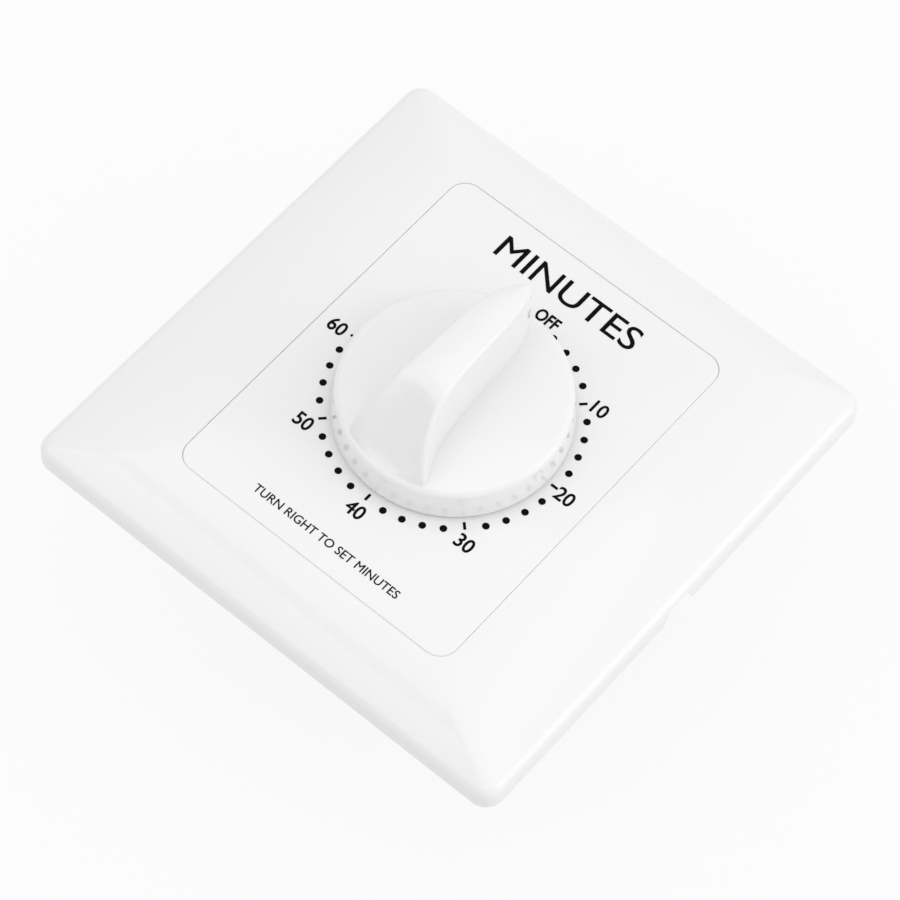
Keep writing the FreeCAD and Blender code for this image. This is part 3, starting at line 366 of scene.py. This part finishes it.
def roll_rings():
    """The same for the rolled edge, from the shoulder down to where the wall is upright."""
    (_, sx), (_, sy) = crown_fall(WINDOW_HALF_X + BREAK), crown_fall(WINDOW_HALF_Y + BREAK)
    centre, low = PLATE_HALF - EDGE_ROLL, SHOULDER_Z - EDGE_ROLL
    rings = []
    for step in range(1, ROLL_STEPS + 1):
        share = step / ROLL_STEPS
        ax, ay = sx + (math.pi / 2 - sx) * share, sy + (math.pi / 2 - sy) * share
        x, y = centre + EDGE_ROLL * math.sin(ax), centre + EDGE_ROLL * math.sin(ay)
        corner = PLATE_CORNER - EDGE_ROLL * (1 - math.sin(ax))
        rings.append((x, y, corner, low + EDGE_ROLL * math.cos(ax), low + EDGE_ROLL * math.cos(ay)))
    return rings


def mixed_ring(half_x, half_y, corner, z_side_x, z_side_y):
    """A rounded rectangle whose X sides and Y sides may differ a little in height."""
    ring = rounded_rectangle(half_x, half_y, corner, 0.0)
    for point in ring:
        over_x = max(abs(point.x) / MM - (half_x - corner), 0.0)
        over_y = max(abs(point.y) / MM - (half_y - corner), 0.0)
        share = over_x / (over_x + over_y)
        point.z = (z_side_x * share + z_side_y * (1 - share)) * MM
    return ring


for start_half in (WINDOW_HALF_X + BREAK, WINDOW_HALF_Y + BREAK):
    print("crown's slope at the shoulder", round(math.degrees(crown_fall(start_half)[1]), 1), "degrees")


# %% The shell
FOOT_BREAK, WALL_MIDDLE, CAVITY_CORNER_Z, CAVITY_SLOPE = 0.15, 1.5, 2.6, 1.5
CAVITY_TOP = SHOULDER_Z - COVER_WALL * 0.8
WINDOW_RIM, WINDOW_RIM_FOOT = 1.3, 2.3


def cover_shell():
    """Over the crown, down the outer wall, up the inner one, and round the window's rim to the start."""
    rings = [mixed_ring(*ring) for ring in crown_rings() + roll_rings()]
    rings += [rounded_rectangle(PLATE_HALF, PLATE_HALF, PLATE_CORNER, z) for z in (WALL_MIDDLE, FOOT_BREAK)]
    foot_half = PLATE_HALF - FOOT_BREAK
    rings += [rounded_rectangle(foot_half, foot_half, PLATE_CORNER - FOOT_BREAK, 0.0)]
    inner_half, inner_corner = PLATE_HALF - COVER_WALL, PLATE_CORNER - COVER_WALL / 2
    rings += [rounded_rectangle(inner_half, inner_half, inner_corner, z) for z in (0.0, CAVITY_CORNER_Z)]
    top_half = inner_half - CAVITY_SLOPE
    rings += [rounded_rectangle(top_half, top_half, inner_corner, CAVITY_TOP)]
    rings += [rounded_rectangle(WINDOW_HALF_X + WINDOW_RIM, WINDOW_HALF_Y + WINDOW_RIM,
                                WINDOW_CORNER + WINDOW_RIM, z)
              for z in (PANEL_Z - COVER_WALL, WINDOW_RIM_FOOT)]
    rings += [rounded_rectangle(WINDOW_HALF_X, WINDOW_HALF_Y, WINDOW_CORNER, z)
              for z in (WINDOW_RIM_FOOT, PANEL_Z - BREAK)]
    bm = stacked(rings + rings[:1])
    bmesh.ops.remove_doubles(bm, verts=bm.verts, dist=SAME_POINT)
    bmesh.ops.recalc_face_normals(bm, faces=bm.faces)
    print("cover of", round(bm.calc_volume() / MM ** 3), "cubic mm")
    return bm


# %% [markdown]
# ### The notch
# One side wall has a notch, where a screwdriver prises the cover off. It could be left open in the rings,
# but it is a plain cut, so a wedge is extruded and taken out of the shell with an exact Boolean.

# %% The notch for a screwdriver
NOTCH_MIDDLE, NOTCH_WIDTH, NOTCH_HEIGHT, NOTCH_SLOPE = -0.9, 4.5, 3.0, 1.15
CUT_INSIDE, CUT_OUTSIDE = 0.2, 1.0


def notch_cutter():
    """A wedge through the +X wall, from below the plate up to the notch's roof."""
    low, high = NOTCH_WIDTH / 2 + NOTCH_SLOPE, NOTCH_WIDTH / 2
    start = (PLATE_HALF - COVER_WALL - CUT_INSIDE) * MM
    corners = [(-low, -CUT_OUTSIDE), (low, -CUT_OUTSIDE), (low, 0.0), (high, NOTCH_HEIGHT),
               (-high, NOTCH_HEIGHT), (-low, 0.0)]
    bm = bmesh.new()
    face = bm.faces.new([bm.verts.new((start, (NOTCH_MIDDLE + y) * MM, z * MM)) for y, z in corners])
    walls = bmesh.ops.extrude_face_region(bm, geom=[face])["geom"]
    moved = [item for item in walls if isinstance(item, bmesh.types.BMVert)]
    bmesh.ops.translate(bm, verts=moved, vec=((COVER_WALL + CUT_OUTSIDE) * MM, 0, 0))
    bmesh.ops.recalc_face_normals(bm, faces=bm.faces)
    return bm


def cut_by(bm, cutter_bm):
    """The first shape with the second one cut out of it."""
    objects = []
    for name, source in (("blank", bm), ("cutter", cutter_bm)):
        mesh = bpy.data.meshes.new(name)
        source.to_mesh(mesh)
        source.free()
        objects.append(bpy.data.objects.new(name, mesh))
        bpy.context.scene.collection.objects.link(objects[-1])
    blank, cutter = objects
    cut = blank.modifiers.new("cut", "BOOLEAN")
    cut.operation, cut.solver, cut.object = "DIFFERENCE", "EXACT", cutter
    bpy.context.view_layer.update()
    result = bmesh.new()
    result.from_mesh(blank.evaluated_get(bpy.context.evaluated_depsgraph_get()).to_mesh())
    for item in objects:
        mesh = item.data
        bpy.data.objects.remove(item)
        bpy.data.meshes.remove(mesh)
    return result


finished(cut_by(cover_shell(), notch_cutter()), "cover_shell", cover_white, "plate",
         "cover_frame", 35.0)

# %% [markdown]
# ## Knob
# The knob is one moulding, but its two forms are made apart: a turned disc with a rolled rim, hollow
# beneath, and a wedge grip whose long top dips into a scoop at the rear. A spin makes the disc. The grip
# could be sculpted from a subdivided block. Instead it is a row of upright sections, each bridged to the
# next, because that keeps its ridges exactly where they belong.

# %% The disc
KNOB_BASE, KNOB_RIM, RIM_ROLL, SKIRT_BREAK, DOME = 17.75, 17.35, 1.1, 0.2, 0.22
KNOB_BOTTOM, DISC_Z, KNOB_WALL = 7.45, 13.1, 1.7
BOSS, BOSS_BOTTOM, BORE, BORE_TOP = 4.4, 8.0, 2.02, 11.9
RIM_STEPS, DOME_STEPS, SPIN_STEPS = 8, 5, 128


def disc_profile():
    """Half the disc's section: down the bore, round the boss and the hollow, up the skirt, over the top."""
    points = [(BORE, BORE_TOP), (BORE, BOSS_BOTTOM), (BOSS, BOSS_BOTTOM), (BOSS, DISC_Z - KNOB_WALL),
              (KNOB_BASE - KNOB_WALL, DISC_Z - KNOB_WALL), (KNOB_BASE - KNOB_WALL, KNOB_BOTTOM),
              (KNOB_BASE - SKIRT_BREAK, KNOB_BOTTOM), (KNOB_BASE, KNOB_BOTTOM + SKIRT_BREAK)]
    for step in range(RIM_STEPS + 1):
        angle = math.radians(90 * step / RIM_STEPS)
        inwards, down = RIM_ROLL * (1 - math.cos(angle)), RIM_ROLL * (1 - math.sin(angle))
        points.append((KNOB_RIM - inwards, DISC_Z - down))
    for step in range(1, DOME_STEPS + 1):
        share = 1 - step / DOME_STEPS
        points.append(((KNOB_RIM - RIM_ROLL) * share, DISC_Z + DOME * (1 - share ** 2)))
    return points + [(0.0, BORE_TOP), (BORE, BORE_TOP)]


def spun(profile):
    """The profile turned once round the shaft's axis."""
    bm = bmesh.new()
    verts = [bm.verts.new((r * MM, 0, z * MM)) for r, z in profile]
    edges = [bm.edges.new(pair) for pair in zip(verts, verts[1:])]
    bmesh.ops.spin(bm, geom=verts + edges, cent=(0, 0, 0), axis=(0, 0, 1), angle=2 * math.pi,
                   steps=SPIN_STEPS, use_merge=True)
    return bm


finished(spun(disc_profile()), "knob_disc", knob_white, "knob", "knob", 50.0)


# %% The grip's sections
# Each row, in millimetres: y; half the width at the foot and at the ridges; the ridges' height over the
# panel; how far the middle of the top rises over them, or dips where the scoop is; and how far the
# section is bowed back, which only the tail is.
GRIP = [
    (-15.0, 7.1, 7.0, 5.9, 0.1, 1.5),
    (-14.8, 7.05, 6.8, 7.4, -1.3, 1.35),
    (-14.4, 6.95, 6.5, 8.9, -2.6, 1.15),
    (-13.8, 6.75, 6.1, 10.6, -3.5, 0.95),
    (-13.0, 6.35, 5.65, 12.1, -3.55, 0.75),
    (-12.0, 5.8, 5.15, 13.5, -3.0, 0.5),
    (-10.8, 5.25, 4.7, 14.9, -2.1, 0.25),
    (-9.6, 4.8, 4.35, 16.0, -1.25, 0.05),
    (-8.6, 4.45, 4.15, 16.8, -0.5, 0.0),
    (-7.6, 4.2, 4.0, 17.35, 0.0, 0.0),
    (-6.2, 3.95, 3.8, 17.8, 0.25, 0.0),
    (-3.5, 3.6, 3.5, 18.05, 0.3, 0.0),
    (0.0, 3.35, 3.3, 18.1, 0.25, 0.0),
    (3.0, 3.2, 3.2, 18.05, 0.3, 0.0),
    (7.0, 3.0, 3.0, 17.85, 0.35, 0.0),
    (10.0, 2.7, 2.65, 17.4, 0.3, 0.0),
    (12.5, 2.3, 2.15, 16.7, 0.25, 0.0),
    (14.5, 1.65, 1.45, 15.9, 0.2, 0.0),
    (16.0, 0.7, 0.55, 15.15, 0.1, 0.0),
    (16.4, 0.2, 0.15, 14.8, 0.03, 0.0),
]
ROWS_PER_SPAN = 4


def smooth_rows(rows):
    """The rows with more between them, on a smooth curve through each column."""
    out = []
    for i, (a, b) in enumerate(zip(rows, rows[1:])):
        before, after = rows[max(i - 1, 0)], rows[min(i + 2, len(rows) - 1)]
        run = b[0] - a[0]
        for step in range(ROWS_PER_SPAN):
            t = step / ROWS_PER_SPAN
            row = []
            for k in range(len(a)):
                slope_a = (b[k] - before[k]) / (b[0] - before[0]) * run
                slope_b = (after[k] - a[k]) / (after[0] - a[0]) * run
                row.append((2 * t**3 - 3 * t**2 + 1) * a[k] + (t**3 - 2 * t**2 + t) * slope_a
                           + (-2 * t**3 + 3 * t**2) * b[k] + (t**3 - t**2) * slope_b)
            out.append(row)
    return out + [rows[-1]]


print("grip sections", len(smooth_rows(GRIP)), "long", GRIP[-1][0] - GRIP[0][0], "mm")

# %% The grip
TOP_STEPS, EDGE_STEPS, RIDGE_ROUND, ROOT_DEPTH = 14, 6, 0.7, 0.9
MOST_OF_WIDTH, MOST_OF_HEIGHT = 0.5, 0.4


def grip_section(y, foot, ridge, height, rise, bow):
    """One upright section, bowed back in plan so that the tail follows the disc's round edge."""
    root, top = DISC_Z - ROOT_DEPTH, PANEL_Z + height
    edge = min(RIDGE_ROUND, ridge * MOST_OF_WIDTH, (top - root) * MOST_OF_HEIGHT)
    right = [(foot, root), (ridge, top - edge)]
    for step in range(1, EDGE_STEPS):
        angle = math.radians(90 * step / EDGE_STEPS)
        right.append((ridge - edge + edge * math.cos(angle), top - edge + edge * math.sin(angle)))
    points = list(right)
    for step in range(TOP_STEPS + 1):
        share = 1 - 2 * step / TOP_STEPS
        points.append(((ridge - edge) * share, top + rise * (1 - share ** 2)))
    points += [(-x, z) for x, z in reversed(right)]
    return [Vector((x * MM, (y - bow * (1 - (x / foot) ** 2)) * MM, z * MM)) for x, z in points]


def grip_bmesh():
    """The sections bridged into one closed form, whose root is sunk into the disc."""
    bm = bmesh.new()
    loops = [loop_edges(bm, grip_section(*row)) for row in smooth_rows(GRIP)]
    for a, b in zip(loops, loops[1:]):
        bmesh.ops.bridge_loops(bm, edges=a + b)
    for end in (loops[0], loops[-1]):
        bmesh.ops.contextual_create(bm, geom=end)
    return bm


finished(grip_bmesh(), "knob_grip", knob_white, "knob", None, 50.0)

# %% [markdown]
# ## Printing
# The dial's ring of dots and ticks is printed on the panel, with figures and words beside it. A pattern in
# the panel's material could draw them, but it would be soft at the edges and missing from the meshes that
# are exported. So they are flat outlines, raised by a hair, and lie on the panel as ink does. The figures
# are text made into meshes; the font is light, so its outline is widened.

# %% Flat ink
INK = 0.04
print("ink", INK, "mm thick on a panel", PANEL_Z, "mm over the wall")


def inked(bm, name, node=None):
    """Flat outlines on the panel, made as thick as a coat of ink."""
    faces = bmesh.ops.extrude_face_region(bm, geom=list(bm.faces))["geom"]
    top = [item for item in faces if isinstance(item, bmesh.types.BMVert)]
    bmesh.ops.translate(bm, verts=top, vec=(0, 0, INK * MM))
    finished(bm, name, ink, "plate", node)


# %% The ring of dots and ticks
RING, TICK_RING, DOT, TICK_LENGTH, TICK_WIDTH = 19.35, 18.9, 0.55, 1.2, 0.42
DIAL_MINUTES, DOT_MINUTES, TICK_MINUTES, DEGREES_A_MINUTE = 60, 2, 10, 4.5
DOT_SIDES = 40


def dial_ring():
    """From the stop mark at the top clockwise: a dot for every two minutes, a tick for every ten."""
    bm = bmesh.new()
    for minute in range(0, DIAL_MINUTES + 1, DOT_MINUTES):
        turn = Matrix.Rotation(math.radians(90 - minute * DEGREES_A_MINUTE), 4, "Z")
        is_dot = minute % TICK_MINUTES > 0
        place = turn @ Matrix.Translation(((RING if is_dot else TICK_RING) * MM, 0, PANEL_Z * MM))
        if is_dot:
            bmesh.ops.create_circle(bm, cap_ends=True, segments=DOT_SIDES, radius=DOT * MM, matrix=place)
        else:
            shape = Matrix.Diagonal((TICK_LENGTH * MM, TICK_WIDTH * MM, 1, 1))
            bmesh.ops.create_grid(bm, x_segments=1, y_segments=1, size=0.5, matrix=place @ shape)
    inked(bm, "dial_ring", "dial_marks")


dial_ring()


# %% Bolder letters
SHARPEST_REACH = 1.5


def bolder(bm, extra):
    """Widens flat lettering: its rim is extruded and moved outwards by that many millimetres."""
    rim = [edge for edge in bm.edges if edge.is_boundary]
    outward = {}
    for edge in rim:
        a, b = edge.verts
        across = (b.co - a.co).cross(Vector((0, 0, 1))).normalized()
        if across.dot(edge.link_faces[0].calc_center_median() - a.co) > 0:
            across.negate()
        for vert in edge.verts:
            outward.setdefault(vert, []).append(across)
    made = bmesh.ops.extrude_edge_only(bm, edges=rim)["geom"]
    for new in (item for item in made if isinstance(item, bmesh.types.BMVert)):
        old = next(e.other_vert(new) for e in new.link_edges if e.other_vert(new) in outward)
        way = sum(outward[old], Vector())
        if way.length > 0:
            reach = min(2 / way.length, SHARPEST_REACH)
            new.co += way.normalized() * reach * extra * MM


# %% Lettering
LETTER_CURVE_STEPS = 6


def lettering(words, x, y, height, name, widen, extra):
    """Words centred at x, y, with capitals that high, as thin ink on the panel."""
    curve = bpy.data.curves.new(name, "FONT")
    curve.body, curve.align_x, curve.align_y = words, "LEFT", "BOTTOM_BASELINE"
    curve.size, curve.resolution_u = 1.0, LETTER_CURVE_STEPS
    holder = bpy.data.objects.new(name + "_text", curve)
    bpy.context.scene.collection.objects.link(holder)
    bpy.context.view_layer.update()
    mesh = bpy.data.meshes.new_from_object(holder)
    bpy.data.objects.remove(holder)
    xs, ys = [v.co.x for v in mesh.vertices], [v.co.y for v in mesh.vertices]
    scale = (height - 2 * extra) * MM / (max(ys) - min(ys))
    middle = Vector(((min(xs) + max(xs)) / 2, (min(ys) + max(ys)) / 2, 0))
    place = Matrix.Translation((x * MM, y * MM, PANEL_Z * MM))
    place = place @ Matrix.Diagonal((scale * widen, scale, 1.0, 1.0)) @ Matrix.Translation(-middle)
    mesh.transform(place)
    bm = bmesh.new()
    bm.from_mesh(mesh)
    bpy.data.meshes.remove(mesh)
    bmesh.ops.remove_doubles(bm, verts=bm.verts, dist=SAME_POINT)
    bolder(bm, extra)
    inked(bm, name)


# %% Figures and words
FIGURE_HEIGHT, FIGURE_WIDEN, FIGURE_EXTRA = 2.35, 0.95, 0.055
FIGURES = {"10": (15.8, 14.2), "20": (21.1, -0.3), "30": (15.2, -15.5), "40": (0.0, -21.6),
           "50": (-15.1, -15.5), "60": (-21.9, -0.2)}

for words, (x, y) in FIGURES.items():
    lettering(words, x, y, FIGURE_HEIGHT, "figure_" + words, FIGURE_WIDEN, FIGURE_EXTRA)
lettering("OFF", 0.35, 21.05, 2.15, "stop_mark", 0.8, 0.07)
lettering("MINUTES", -0.2, 26.6, 4.1, "title_minutes", 1.12, 0.02)
lettering("TURN RIGHT TO SET MINUTES", 0.2, -28.1, 1.4, "setting_line", 0.99, 0.012)

# %% [markdown]
# ## Stage
# The photograph is a product shot on white. A sheet of pale paper under the object would do, but lit as
# the object is, it comes out grey. More light would spoil the object, so what the camera and reflections
# see of the paper is mostly a plain white glow, with a tenth of the lit paper and its shadow in it.

# %% Floor
FLOOR_HALF, FLOOR_GAP, FLOOR_SEEN_WHITE, PAPER_CLOUDS = 1.5, 0.0002, 0.9, 20.0


def floor_finish():
    """Paper that is nearly white wherever it is seen, and plain pale paper for the light that it returns."""
    finish = Finish("pale_floor", Roughness=0.9)
    paper = finish.noise(PAPER_CLOUDS)
    finish.surface(Base_Color=finish.colour_mix(paper, (0.73, 0.73, 0.73), (0.75, 0.75, 0.75)))
    rays = [finish.node("ShaderNodeLightPath", out=name)
            for name in ("Is Camera Ray", "Is Glossy Ray", "Is Transmission Ray")]
    seen = rays[0] + rays[1] + rays[2]
    glow = finish.node("ShaderNodeEmission", Color=(1.0, 1.0, 1.0, 1.0), Strength=1.0)
    paper_shader = Socket(finish, finish.shader.outputs[0])
    mix = finish.node("ShaderNodeMixShader", None, seen * FLOOR_SEEN_WHITE, paper_shader, glow)
    finish.feed(finish.tree.nodes["Material Output"].inputs["Surface"], mix)
    return finish.material


def floor_piece():
    bm = bmesh.new()
    bmesh.ops.create_grid(bm, x_segments=2, y_segments=2, size=FLOOR_HALF,
                          matrix=Matrix.Translation((0, 0, cad_box[0][2] - FLOOR_GAP)))
    mesh = bpy.data.meshes.new("floor")
    bm.to_mesh(mesh)
    bm.free()
    floor = bpy.data.objects.new("floor", mesh)
    mesh.materials.append(floor_finish())
    bpy.context.scene.collection.objects.link(floor)
    print("floor", 2 * FLOOR_HALF, "m wide, at z", round(mesh.vertices[0].co.z / MM, 2), "mm")


floor_piece()

# %% [markdown]
# ## Light
# The photo's light is so even that the plate has few shadows. One lamp can't do that, so a white tent gives
# the plain level, and three broad, weak softboxes make the far side, the top and the near side a little
# brighter and put soft shapes in the gloss.

# %% World
def world_light(level, towards):
    """A white tent: a plain level, a little brighter towards one direction than away from it."""
    world = bpy.data.worlds.new("studio")
    bpy.context.scene.world = world
    world.use_nodes = True
    tree = world.node_tree
    back = tree.nodes["Background"]
    back.inputs["Color"].default_value = (1.0, 1.0, 1.0, 1.0)
    ray = tree.nodes.new("ShaderNodeTexCoord")
    slope = tree.nodes.new("ShaderNodeVectorMath")
    slope.operation = "DOT_PRODUCT"
    slope.inputs[1].default_value = towards
    total = tree.nodes.new("ShaderNodeMath")
    total.operation, total.inputs[1].default_value = "ADD", level
    tree.links.new(ray.outputs["Generated"], slope.inputs[0])
    tree.links.new(slope.outputs["Value"], total.inputs[0])
    tree.links.new(total.outputs[0], back.inputs["Strength"])


world_light(0.785, (0.15, 0.09, 0.08))
print("world", bpy.context.scene.world.name)


# %% Lamps
def softbox(name, shape, place, aim, width, height, watts):
    """An area lamp, sizes in metres, turned to face a point."""
    lamp = bpy.data.lights.new(name, "AREA")
    lamp.shape, lamp.size, lamp.size_y, lamp.energy = shape, width, height, watts
    holder = bpy.data.objects.new(name, lamp)
    holder.location = place
    holder.rotation_euler = (Vector(aim) - Vector(place)).to_track_quat("-Z", "Y").to_euler()
    bpy.context.scene.collection.objects.link(holder)


CENTRE = (0, 0, 0)
softbox("softbox_top", "ELLIPSE", (-0.027, 0.104, 0.9), (-0.027, 0.104, 0), 1.08, 0.657, 0.85)
softbox("softbox_side", "RECTANGLE", (0.82, 0.38, 0.42), CENTRE, 0.5, 0.75, 1.4)
softbox("softbox_front", "RECTANGLE", (-0.5, -0.7, 0.85), CENTRE, 1.1, 0.75, 1.8)
print("lights", len(bpy.data.lights))

# %% [markdown]
# ## Camera
# The photo was taken with a long lens from the front right, well above the plate. A camera could be aimed by
# eye, but the plate's corners and the ring of dots give its place: azimuth and elevation in degrees, its
# distance and the point it looks at in millimetres, and a slight roll.

# %% Camera
AZIMUTH, ELEVATION, ROLL, DISTANCE = 36.54, 60.17, 4.19, 569.0
TARGET = (2.78, -3.85, 4.0)
FOCAL_PIXELS, FRAME_PIXELS, SENSOR = 3944.0, 900.0, 36.0


def place_camera():
    azimuth, elevation, roll = (math.radians(angle) for angle in (AZIMUTH, ELEVATION, ROLL))
    level = math.cos(elevation)
    back = Vector((math.sin(azimuth) * level, -math.cos(azimuth) * level, math.sin(elevation)))
    right = (-back).cross(Vector((0, 0, 1))).normalized()
    up = right.cross(-back)
    turned_right = math.cos(roll) * right + math.sin(roll) * up
    turned_up = -math.sin(roll) * right + math.cos(roll) * up
    lens = bpy.data.cameras.new("camera")
    lens.sensor_width, lens.lens = SENSOR, FOCAL_PIXELS / FRAME_PIXELS * SENSOR
    lens.clip_start, lens.clip_end = 0.01, 10.0
    camera = bpy.data.objects.new("camera", lens)
    place = (Vector(TARGET) + back * DISTANCE) * MM
    turn = Matrix((turned_right, turned_up, back)).transposed()
    camera.matrix_world = Matrix.Translation(place) @ turn.to_4x4()
    bpy.context.scene.collection.objects.link(camera)
    bpy.context.scene.camera = camera
    print("camera with a lens of", round(lens.lens, 1), "mm")


place_camera()
bpy.context.scene.view_settings.view_transform = "Standard"
